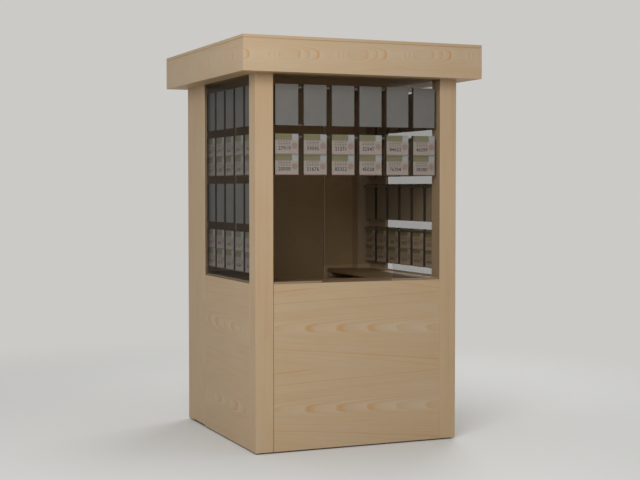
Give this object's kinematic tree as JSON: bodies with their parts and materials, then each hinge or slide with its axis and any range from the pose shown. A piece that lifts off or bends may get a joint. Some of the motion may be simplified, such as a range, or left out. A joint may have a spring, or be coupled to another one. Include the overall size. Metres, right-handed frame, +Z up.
{
  "type": "ticket kiosk",
  "caption": "Square timber selling kiosk with a glazed front and sides, display boxes on rails, an inside counter, a rear door and a boxed flat roof.",
  "frame": {"origin": "on the floor, at the middle of the kiosk's plan", "axes": "+Z up; the serving side faces -Y; +X is to the right of a buyer who faces the kiosk"},
  "size_m": [1.56, 1.56, 2.454],
  "materials": {
    "pine": "pale planed softwood, clear matt varnish",
    "window_glass": "lightly smoked float glass",
    "rails": "dull grey bar",
    "fittings": "satin hinges and knobs",
    "feet": "black rubber pads under the posts",
    "grey_boxes": "plain mid-grey display boxes",
    "printed_boxes": null
  },
  "bodies": {
    "cabin": {"post_front_left": "pine", "post_front_right": "pine", "post_rear_left": "pine", "post_rear_right": "pine", "feet": "feet", "front_panel": "pine", "left_panel": "pine", "right_panel": "pine", "left_filler_board": "pine", "right_filler_board": "pine", "back_board_left": "pine", "back_board_right": "pine", "back_head_board": "pine", "frame_hinge_leaves": "fittings", "hinge_pins": "fittings", "front_counter": "pine", "left_counter": "pine", "right_counter": "pine", "counter_cleats": "pine", "panel_battens": "pine", "front_glass": "window_glass", "left_glass": "window_glass", "right_glass": "window_glass", "glazing_beads": "pine", "front_rails": "rails", "left_rails": "rails", "right_rails": "rails", "front_blank_cards": "grey_boxes", "left_blank_cards": "grey_boxes", "right_blank_cards": "grey_boxes", "front_ticket_cards": "printed_boxes", "left_ticket_cards": "printed_boxes", "right_ticket_cards": "printed_boxes", "soffit": "pine", "fascia_front": "pine", "fascia_rear": "pine", "fascia_left": "pine", "fascia_right": "pine", "roof_board": "pine"},
    "door": {"door_leaf": "pine", "door_ledges": "pine", "door_knobs": "fittings", "door_hinge_leaves": "fittings"}
  },
  "joints": [
    {"name": "door_hinge", "type": "hinge", "parent": "cabin", "child": "door", "pos_m": [-0.328, 0.67, 1.014], "axis": [0, 0, 1], "range_deg": [0, 110]}
  ]
}
